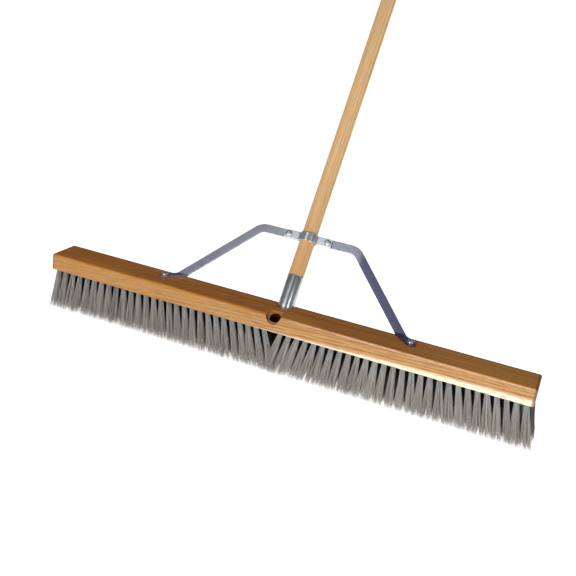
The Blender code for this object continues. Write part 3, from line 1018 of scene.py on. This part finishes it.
@dataclass
class Brace:
    """The steel brace: a bent strap behind the handle, a band in front, and their fasteners."""

    finishes: Finishes
    axis: SocketAxis
    handle_radius: float = 0.0143
    clamp_at: float = 0.141
    width: float = 0.0159
    strap_thickness: float = 0.003
    band_thickness: float = 0.002
    clearance: float = 0.0004
    ear_gap: float = 0.0012
    fillet: float = 0.004
    shoulder_start: float = 0.083
    shoulder_radius: float = 0.024
    arm_slope: float = math.radians(46.5)
    fold_radius: float = 0.005
    fold_steps: int = 8
    foot_lift: float = 0.0002
    foot_screw_reach: float = 0.0335
    foot_end_reach: float = 0.0445
    band_ear_end: float = 0.046
    bolt_x: float = 0.038
    bolt_hole: float = 0.0034
    screw_hole: float = 0.0029
    edge_round: float = 0.00045
    ear_corner: float = 0.0022
    drill_reach: Span = (-0.01, 0.01)
    seat_gap: float = 0.0003
    head_radius: float = 0.0062
    dome_share: float = 0.86
    bolt_head: float = 0.0038
    bolt_shank: float = 0.0028
    bolt_reach: float = 0.004
    bolt_thread: Span = (-0.0125, -0.0030)
    nut_radius: float = 0.00635
    nut_height: float = 0.0055
    nut_chamfer: float = 0.0009
    nut_bore: float = 0.0033
    screw_head: float = 0.0036
    screw_shank: float = 0.0026
    screw_length: float = 0.015
    screw_point: float = 0.005
    point_share: float = 0.12
    recess: Point = (0.0056, 0.0010, 0.003)
    recess_turn: float = 0.5

    def ear(self, thickness: float) -> float:
        """Return how far an ear's middle is from the handle's own plane."""
        return (self.ear_gap + thickness) / 2.0

    def fold_height(self) -> float:
        """Return where the blank meets the foot's own plane, up the handle."""
        foot = self.axis.block_top + self.foot_lift + self.strap_thickness / 2.0
        seat = self.axis.block_top - self.axis.seat_drop
        lean = self.axis.lean
        return (foot - seat + self.ear(self.strap_thickness) * math.sin(lean)) / math.cos(lean)

    def shoulder_end(self) -> Vector:
        """Return the middle of the strap where the arm starts."""
        return Vector((
            self.shoulder_start + self.shoulder_radius * math.sin(self.arm_slope),
            self.ear(self.strap_thickness),
            self.clamp_at - self.shoulder_radius * (1.0 - math.cos(self.arm_slope)),
        ))

    def screw_place(self, side: Side) -> Point:
        """Return a foot screw's place on the block's top."""
        fold = self.axis.matrix() @ self._on_arm(self.fold_height())
        x = fold.x + self.foot_screw_reach * math.cos(self.arm_slope)
        y = fold.y - self.foot_screw_reach * math.sin(self.arm_slope)
        return (side.value * x, y, self.axis.block_top)

    def _on_arm(self, height: float) -> Vector:
        """Return the arm's middle at a height up the handle."""
        start = self.shoulder_end()
        run = (start.z - height) / math.tan(self.arm_slope)
        return Vector((start.x + run, start.y, height))

    def bolt_frame(self, side: Side) -> Matrix:
        """Return a clamp bolt's frame, with Z towards its head."""
        place = Matrix.Translation((side.value * self.bolt_x, 0.0, self.clamp_at))
        return self.axis.matrix() @ place @ Matrix.Rotation(math.pi / 2.0, 4, "X")

    def build(self) -> list[Piece]:
        """Return the strap, the band and every fastener."""
        pieces = [self._strap(), self._band()]
        for side in Side:
            pieces += [self._bolt(side), self._nut(side), self._foot_screw(side)]
        return pieces

    def _bend_saddle(self, edit: Edit, thickness: float, facing: float) -> None:
        """Bend the inner end of an ear out and round the handle.

        Args:
            edit: the open edit session.
            thickness: the metal's thickness.
            facing: 1 to pass behind the handle, -1 to pass in front.
        """
        drop = self.ear(thickness) + self.fillet
        start_x = self.saddle_start(thickness)
        sweep = math.pi / 2.0 - math.atan2(drop, start_x)
        edit.pick(Pick.EDGES, lambda middle, along: abs(middle.x - start_x) < NEAR)
        edit.spin(-facing * sweep, 5, (start_x, facing * drop, 0.0), (0.0, 0.0, 1.0))
        edit.spin(facing * sweep, 14, (0.0, 0.0, 0.0), (0.0, 0.0, 1.0))

    def saddle_start(self, thickness: float) -> float:
        """Return where an ear turns into the saddle."""
        arc = self.handle_radius + self.clearance + thickness / 2.0
        drop = self.ear(thickness) + self.fillet
        return math.sqrt((arc + self.fillet) ** 2 - drop**2)

    def _ear_drills(self) -> list[Piece]:
        """Return the two drills for the clamp bolts."""
        return [self._drill(self.bolt_hole, self.bolt_frame(side)) for side in Side]

    def _foot_drills(self) -> list[Piece]:
        """Return the two drills for the foot screws."""
        return [self._drill(self.screw_hole, Matrix.Translation(self.screw_place(side))) for side in Side]

    def _drill(self, radius: float, where: Matrix) -> Piece:
        """Return one drill that passes through the metal."""
        return Bench.place(Bench.round_bar("drill", radius, *self.drill_reach, 32), where)

    def _finish_plate(self, plate: Piece, thickness: float, drills: Sequence[Piece]) -> None:
        """Mirror half a bent plate, thicken it, ease its edges and drill it."""
        ways = (True, False, False)
        Bench.modify(plate, "MIRROR", use_axis=ways, use_clip=True, merge_threshold=10.0 * NEAR)
        with Edit(plate) as edit:
            edit.outward()
        Bench.modify(plate, "SOLIDIFY", thickness=thickness, offset=0.0, use_even_offset=True)
        Bench.soften(plate, self.edge_round, 2, 50.0)
        Bench.place(plate, self.axis.matrix())
        Bench.carve(plate, drills)
        Bench.finish(plate, 32.0)
        Bench.even_normals(plate)

    def _strap(self) -> Piece:
        """Bend the long strap: saddle, ears, shoulders, arms and folded feet."""
        thickness = self.strap_thickness
        off = self.ear(thickness)
        half = self.width / 2.0
        low, high = self.clamp_at - half, self.clamp_at + half
        along = (self.saddle_start(thickness), self.shoulder_start)
        strap = Bench.upright_plate("brace_strap_steel", along, off, (low, high))
        turn = math.pi / 2.0 - self.axis.lean
        first = self.fold_height() + self.fold_radius * math.tan(turn / 2.0)
        chord = 2.0 * self.fold_radius * math.sin(turn / 2.0 / self.fold_steps)
        lines = [first - chord * step for step in range(self.fold_steps + 1)]
        direction = Vector((math.cos(self.arm_slope), 0.0, -math.sin(self.arm_slope)))
        spare = 2.0 * self.fold_radius * math.tan(turn / 2.0) - chord * self.fold_steps
        reach = (self._on_arm(self.fold_height()) - self.shoulder_end()).length
        reach += self.foot_end_reach - spare / math.sin(self.arm_slope)
        with Edit(strap) as edit:
            self._bend_saddle(edit, thickness, 1.0)
            edit.pick(Pick.EDGES, lambda middle, along: abs(middle.x - self.shoulder_start) < NEAR)
            centre = (self.shoulder_start, off, self.clamp_at - self.shoulder_radius)
            edit.spin(self.arm_slope, 14, centre, (0.0, 1.0, 0.0))
            edit.push(tuple(direction * reach))
            bottom = min(v.co.z for v in bmesh.from_edit_mesh(strap.data).verts)
            end = bottom + self.width * math.cos(self.arm_slope) + 10.0 * NEAR
            edit.pick(Pick.VERTS, lambda place: place.z < end)
            edit.bevel(half * 0.96, 7, corners=True)
            for height in lines:
                edit.score((0.0, 0.0, height), (0.0, 0.0, 1.0))
            for step, height in reversed(list(enumerate(lines))):
                share = 0.5 if step in (0, self.fold_steps) else 1.0
                edit.pick(Pick.VERTS, lambda place, h=height: place.y < off - NEAR or place.z < h - NEAR)
                edit.turn(-share * turn / self.fold_steps, (0.0, off, height))
        self._finish_plate(strap, thickness, self._ear_drills() + self._foot_drills())
        return self.finishes.dress(strap, "zinc_plate", "head", "brace_strap")

    def _band(self) -> Piece:
        """Bend the short band that passes in front of the handle."""
        thickness = self.band_thickness
        half = self.width / 2.0
        along = (self.saddle_start(thickness), self.band_ear_end)
        up = (self.clamp_at - half, self.clamp_at + half)
        band = Bench.upright_plate("clamp_band_steel", along, -self.ear(thickness), up)
        with Edit(band) as edit:
            self._bend_saddle(edit, thickness, -1.0)
            edit.pick(Pick.VERTS, lambda place: place.x > self.band_ear_end - NEAR)
            edit.bevel(self.ear_corner, 3, corners=True)
        self._finish_plate(band, thickness, self._ear_drills())
        return self.finishes.dress(band, "clamp_plate", "head", "clamp_band")

    def _domed(self, name: str, height: float, seat: float) -> Piece:
        """Return a low domed head on a seat."""
        head = Bench.round_bar(name, self.head_radius, seat, seat + height, 40)
        with Edit(head) as edit:
            edit.rim(seat + height)
            edit.bevel(height * self.dome_share, 7)
        return head

    def _draw_shank(self, edit: Edit, radius: float, length: float) -> None:
        """Draw a shank down from the underside of a head."""
        edit.pick(Pick.FACES, lambda middle, normal: normal.z < -0.9)
        edit.inset(self.head_radius - radius)
        edit.push((0.0, 0.0, -length))

    def _bolt(self, side: Side) -> Piece:
        """Turn a clamp bolt: a domed head, a shank, and a thread where it shows."""
        name = side.name.lower()
        seat = self.ear_gap / 2.0 + self.band_thickness + self.seat_gap
        bolt = self._domed(f"clamp_bolt_zinc_{name}", self.bolt_head, seat)
        with Edit(bolt) as edit:
            self._draw_shank(edit, self.bolt_shank, self.bolt_reach + seat)
        form = BroomThread(0.00127, 0.003, 0.0024, 24)
        Bench.carve(bolt, [form.form("bolt_thread", 0.0, *self.bolt_thread)], "UNION")
        Bench.finish(bolt, 32.0, self.bolt_frame(side))
        return self.finishes.dress(bolt, "fastener_zinc", "head", f"clamp_bolt_{name}")

    def _nut(self, side: Side) -> Piece:
        """Forge a hexagon nut with chamfered corners and a clear hole."""
        name = side.name.lower()
        near = -(self.ear_gap / 2.0 + self.strap_thickness + self.seat_gap)
        far = near - self.nut_height
        nut = Bench.round_bar(f"clamp_nut_zinc_{name}", self.nut_radius, far, near, 6)
        crown = Bench.round_bar("nut_crown", self.nut_radius, far, near, 48)
        with Edit(crown) as edit:
            edit.pick(Pick.EDGES, lambda middle, along: abs(along.z) < NEAR)
            edit.bevel(self.nut_chamfer, 2)
        Bench.carve(nut, [crown], "INTERSECT")
        Bench.carve(nut, [Bench.round_bar("nut_drill", self.nut_bore, far - 0.002, near + 0.002, 32)])
        Bench.finish(nut, 25.0, self.bolt_frame(side))
        return self.finishes.dress(nut, "fastener_zinc", "head", f"clamp_nut_{name}")

    def _foot_screw(self, side: Side) -> Piece:
        """Turn a foot screw: a domed head with a cross recess, a shank and a point."""
        name = side.name.lower()
        seat = self.foot_lift + self.strap_thickness + self.seat_gap
        screw = self._domed(f"foot_screw_zinc_{name}", self.screw_head, seat)
        with Edit(screw) as edit:
            self._draw_shank(edit, self.screw_shank, self.screw_length + seat)
            edit.push((0.0, 0.0, -self.screw_point))
            bpy.ops.transform.resize(value=(self.point_share, self.point_share, 1.0))
        for turn in (0.0, math.pi / 2.0):
            slot = Bench.bar("driver_slot", self.recess, (0.0, 0.0, seat + self.screw_head))
            Bench.carve(screw, [Bench.place(slot, Matrix.Rotation(turn + self.recess_turn, 4, "Z"))])
        Bench.finish(screw, 32.0, Matrix.Translation(self.screw_place(side)))
        return self.finishes.dress(screw, "fastener_zinc", "head", f"foot_screw_{name}")


# --------------------------------------------------------------- the tufts


class Row(Enum):
    """The five rows of tufts, from front to back."""

    FRONT = 0
    SECOND = 1
    CENTRE = 2
    FOURTH = 3
    BACK = 4

    @property
    def outer(self) -> bool:
        """Say whether the row can be seen along its whole length."""
        return self in (Row.FRONT, Row.BACK)


@dataclass
class TuftField:
    """Five rows of bristle tufts, each a fan of split bristles combed to one side."""

    finishes: Finishes
    pitch: float = 0.0159
    per_half: int = 28
    row_spacing: float = 0.0135
    root_radius: float = 0.0041
    inner_radius: float = 0.0062
    end_radius: float = 0.0084
    top: float = 0.0757
    tip_span: float = 0.088
    outer_count: int = 150
    inner_count: int = 84
    bristle_radius: float = 0.00031
    stiff_radius: float = 0.00052
    seed: int = 11
    lengthwise: int = 4

    def build(self) -> list[Piece]:
        """Return the five rows."""
        bristle = self._one_bristle()
        rows = [self._row(bristle, row) for row in Row]
        bpy.data.objects.remove(bristle, do_unlink=True)
        return rows

    def _one_bristle(self) -> Piece:
        """Model one bristle: a three-sided bar of unit size with rings for bending it."""
        bristle = Bench.round_bar("one_bristle", 1.0, 0.0, 1.0, 3)
        with Edit(bristle) as edit:
            for step in range(1, self.lengthwise):
                edit.score((0.0, 0.0, step / self.lengthwise), (0.0, 0.0, 1.0))
            edit.pick(Pick.FACES, lambda middle, normal: middle.z > 0.999)
            bpy.ops.mesh.merge(type="CENTER")
        return bristle

    def roots(self, row: Row) -> list[float]:
        """Return where a row's tufts stand along the block."""
        stagger = 0.5 * (row.value % 2)
        half = [self.pitch * (k + 1 + stagger) for k in range(self.per_half - row.value % 2)]
        return [-x for x in reversed(half)] + half

    def lean(self, x: float) -> float:
        """Return how far a tuft's tip is combed along the block, in metres."""
        if x < 0.0:
            return -0.003 + 0.070 * (x + 0.445)
        return min(0.016, -0.017 + 0.100 * x)

    def _row(self, bristle: Piece, row: Row) -> Piece:
        """Plant one row of tufts as a single mesh.

        Args:
            bristle: the one modelled bristle.
            row: which row.

        Returns:
            The finished row.
        """
        chance = np.random.default_rng(self.seed + row.value)
        count = self.outer_count if row.outer else self.inner_count
        stands = self.roots(row)
        tufts = [self._tuft(chance, row, x, count, x in (stands[0], stands[-1])) for x in stands]
        roots, tips, bows, tones, shades, lengths = (np.concatenate(part) for part in zip(*tufts))
        shape = np.array([v.co for v in bristle.data.vertices])
        faces = [np.array(p.vertices) for p in bristle.data.polygons]
        along = shape[:, 2]
        part = along[None, :, None]
        middle = roots[:, None, :] * (1.0 - part) + tips[:, None, :] * part
        bend = np.sin(math.pi * part) * 0.5 + np.clip(part - 0.8, 0.0, 1.0) * 3.0
        middle[:, :, :2] += bows[:, None, :] * bend
        thick = (self.bristle_radius if row.outer else self.stiff_radius) * (1.05 - 0.45 * along**3)
        middle[:, :, :2] += shape[None, :, :2] * thick[None, :, None]
        name = f"tuft_row_{row.name.lower()}_bristles"
        mesh = self._mesh(name, middle, faces)
        for title, values in (
            ("along", np.broadcast_to(along[None, :] * lengths[:, None], middle.shape[:2])),
            ("tone", np.broadcast_to(tones[:, None], middle.shape[:2])),
            # Painted shade: strongest at the roots, fading towards the tips.
            ("shade", shades[:, None] * np.clip(1.25 - 1.05 * along[None, :], 0.0, 1.0)),
        ):
            carried = mesh.attributes.new(title, "FLOAT", "POINT")
            carried.data.foreach_set("value", np.ascontiguousarray(values, dtype=np.float32).ravel())
        piece = bpy.data.objects.new(name, mesh)
        bpy.context.scene.collection.objects.link(piece)
        Bench.take(piece)
        bpy.ops.object.shade_smooth()
        label = f"tuft_row_{row.name.lower()}"
        nodes = [label] if row is Row.CENTRE else [f"{label}_left", f"{label}_right"]
        return self.finishes.dress(piece, "bristle", "head", *nodes)

    def _tuft(
        self, chance: np.random.Generator, row: Row, x: float, count: int, end: bool
    ) -> tuple[np.ndarray, ...]:
        """Return one tuft's bristles.

        Args:
            chance: the row's own random numbers.
            row: which row.
            x: where the tuft stands along the block.
            count: how many bristles it has.
            end: whether it is the last of its row.

        Returns:
            Roots, tips, sideways bows, tones, painted shades and lengths, one line for each bristle.
        """
        y = (row.value - 2) * self.row_spacing
        depth = self.tip_span / len(Row)
        tip_y = (row.value - 2) * depth
        turn = chance.uniform(0.0, math.tau, count)
        out = np.sqrt(chance.uniform(0.0, 1.0, count))
        spread = np.stack([np.cos(turn) * out, np.sin(turn) * out], axis=1)
        flare = chance.uniform(0.0092, 0.0128)
        lean = self.lean(x) + chance.normal(0.0, 0.0016)
        locks = chance.uniform(-1.0, 1.0, (6, 2))
        nearest = np.argmin(((spread[:, None, :] - locks[None, :, :]) ** 2).sum(2), axis=1)
        pulled = spread * 0.72 + locks[nearest] * 0.28
        long = 1.0 + np.clip(chance.normal(0.0, 0.010, count), -0.03, 0.012)
        across = 0.45 * pulled[:, 1] + 0.55 * chance.uniform(-1.0, 1.0, count)
        low = self.top * (1.0 - long)
        root = self.root_radius if row.outer else self.inner_radius
        if end and not row.outer:
            x += math.copysign(0.003, x)
            root = self.end_radius
        if abs(x) < 1.6 * self.pitch and not row.outer:
            x *= 0.6
            root = self.end_radius
        roots = np.stack([x + spread[:, 0] * root, y + spread[:, 1] * root, np.full(count, self.top)], axis=1)
        tips = np.stack(
            [
                x + lean + pulled[:, 0] * flare + chance.normal(0.0, 0.0006, count),
                tip_y + across * depth * 0.52 + chance.normal(0.0, 0.0005, count),
                np.maximum(low, 0.0),
            ],
            axis=1,
        )
        bows = chance.normal(0.0, 0.0006, (count, 2)) + locks[nearest] * 0.0006 - spread * 0.0008
        tones = chance.normal(0.5, 0.16, count) + locks[nearest][:, 0] * 0.12 + chance.normal(0.0, 0.05)
        tones = np.clip(tones, 0.0, 1.0)
        # Painted shade: full on the inner rows, a little less on their end tufts, none on the outer rows.
        shade = 0.0 if row.outer else (0.55 if end else 1.0)
        return roots, tips, bows, tones, np.full(count, shade), long

    @staticmethod
    def _mesh(name: str, places: np.ndarray, faces: Sequence[np.ndarray]) -> bpy.types.Mesh:
        """Return one mesh of many copies of the same faces.

        Args:
            name: the mesh's name.
            places: every copy's vertices, by copy, vertex and axis.
            faces: the faces of one copy.

        Returns:
            The mesh.
        """
        copies, corners = places.shape[:2]
        sizes = np.array([len(face) for face in faces])
        loops = np.concatenate(faces)[None, :] + (np.arange(copies) * corners)[:, None]
        totals = np.tile(sizes, copies)
        starts = np.concatenate([[0], np.cumsum(totals)[:-1]])
        mesh = bpy.data.meshes.new(name)
        mesh.vertices.add(copies * corners)
        mesh.vertices.foreach_set("co", np.ascontiguousarray(places, dtype=np.float32).ravel())
        mesh.loops.add(loops.size)
        mesh.loops.foreach_set("vertex_index", loops.ravel().astype(np.int32))
        mesh.polygons.add(len(totals))
        mesh.polygons.foreach_set("loop_start", starts.astype(np.int32))
        mesh.polygons.foreach_set("loop_total", totals.astype(np.int32))
        mesh.update(calc_edges=True)
        mesh.validate()
        return mesh


# --------------------------------------------------------------- the studio


@dataclass(frozen=True)
class SoftBox:
    """A soft lamp: where it stands, what it faces, its size, power and colour."""

    name: str
    place: Point
    target: Point
    size: Span
    power: float
    colour: Colour = (1.0, 1.0, 1.0)

    def hang(self) -> Piece:
        """Add the lamp to the scene."""
        data = bpy.data.lights.new(self.name, "AREA")
        data.shape = "RECTANGLE"
        data.size, data.size_y = self.size
        data.energy = self.power
        data.color = self.colour
        lamp = bpy.data.objects.new(self.name, data)
        bpy.context.scene.collection.objects.link(lamp)
        lamp.location = self.place
        lamp.rotation_euler = (Vector(self.target) - Vector(self.place)).to_track_quat("-Z", "Y").to_euler()
        lamp.visible_camera = False
        return lamp


@dataclass
class Studio:
    """A plain pale studio: a white floor, soft lamps and the camera."""

    aim: Point = (0.005, 0.009, 0.148)
    distance: float = 1.5
    azimuth: float = math.radians(18.57)
    elevation: float = math.radians(20.32)
    roll: float = math.radians(8.47)
    lens: float = 53.11
    floor_size: float = 160.0
    floor_drop: float = 0.0012
    lamps: tuple[SoftBox, ...] = (
        SoftBox("key_lamp", (-0.55, -2.3, 0.95), (0.0, 0.0, 0.1), (1.1, 0.8), 25.0, (1.0, 0.98, 0.95)),
        SoftBox("side_lamp", (2.1, -1.6, 0.9), (0.0, 0.0, 0.15), (0.55, 1.5), 12.0),
        SoftBox("clamp_lamp", (-0.50, -1.2, 1.63), (0.0, 0.1, 0.22), (0.45, 0.40), 0.9),
        SoftBox("low_lamp", (0.33, -0.30, 0.004), (0.33, -0.05, 0.10), (0.55, 0.10), 0.5),
        SoftBox("back_lamp", (0.3, 2.0, 2.6), (0.0, 0.2, 0.2), (1.4, 1.0), 7.0),
    )

    def build(self) -> None:
        """Set up the floor, the sky, the lamps and the camera."""
        self._floor()
        self._sky()
        for lamp in self.lamps:
            lamp.hang()
        self._camera()
        bpy.context.scene.view_settings.view_transform = "Standard"

    def _floor(self) -> None:
        """Lay the floor, evenly lit from within like a light table."""
        bpy.ops.object.select_all(action="DESELECT")
        bpy.ops.mesh.primitive_circle_add(
            vertices=64, radius=self.floor_size / 2.0, fill_type="NGON", location=(0.0, 0.0, -self.floor_drop)
        )
        floor = bpy.context.object
        floor.name = "studio_floor"
        n = Nodes("studio_white")
        n.set(Base_Color=(0.9, 0.9, 0.9, 1.0), Roughness=0.9, Specular_IOR_Level=0.0)
        n.set(Emission_Color=(1.0, 1.0, 1.0, 1.0), Emission_Strength=0.95)
        floor.data.materials.append(n.material)

    def _sky(self) -> None:
        """Make the room beyond the floor white to look at and dim as a lamp."""
        world = bpy.data.worlds.new("studio_room")
        bpy.context.scene.world = world
        world.use_nodes = True
        nodes, links = world.node_tree.nodes, world.node_tree.links
        nodes.clear()
        path = nodes.new("ShaderNodeLightPath")
        seen, dim = nodes.new("ShaderNodeBackground"), nodes.new("ShaderNodeBackground")
        seen.inputs["Color"].default_value = (1.0, 1.0, 1.0, 1.0)
        dim.inputs["Color"].default_value = (0.9, 0.94, 1.0, 1.0)
        dim.inputs["Strength"].default_value = 0.10
        mix, out = nodes.new("ShaderNodeMixShader"), nodes.new("ShaderNodeOutputWorld")
        links.new(path.outputs["Is Camera Ray"], mix.inputs[0])
        links.new(dim.outputs[0], mix.inputs[1])
        links.new(seen.outputs[0], mix.inputs[2])
        links.new(mix.outputs[0], out.inputs["Surface"])

    def _camera(self) -> None:
        """Stand the camera in front and a little to the right, slightly tilted."""
        flat = math.cos(self.elevation)
        side, front = math.sin(self.azimuth) * flat, -math.cos(self.azimuth) * flat
        back = Vector((side, front, math.sin(self.elevation)))
        data = bpy.data.cameras.new("camera")
        data.lens = self.lens
        data.sensor_width = 36.0
        data.dof.use_dof = False
        camera = bpy.data.objects.new("camera", data)
        bpy.context.scene.collection.objects.link(camera)
        facing = (-back).to_track_quat("-Z", "Y").to_matrix() @ Matrix.Rotation(self.roll, 3, "Z")
        camera.matrix_world = Matrix.Translation(Vector(self.aim) + back * self.distance) @ facing.to_4x4()
        bpy.context.scene.camera = camera


def main() -> None:
    """Build the broom and its studio, in order."""
    logging.basicConfig(level=logging.INFO, format="%(message)s")
    finishes = Finishes()
    axis = SocketAxis()
    thread = BroomThread()
    brace = Brace(finishes, axis)
    places = tuple(brace.screw_place(side) for side in Side)
    block = BroomBlock(finishes, axis, thread, screw_places=places)
    log.info("block: %s", block.build().name)
    log.info("handle: %s", [piece.name for piece in BroomHandle(finishes, axis, thread).build()])
    log.info("brace: %s", [piece.name for piece in brace.build()])
    log.info("tufts: %s", [piece.name for piece in TuftField(finishes).build()])
    Studio().build()


if __name__ == "__main__":
    main()
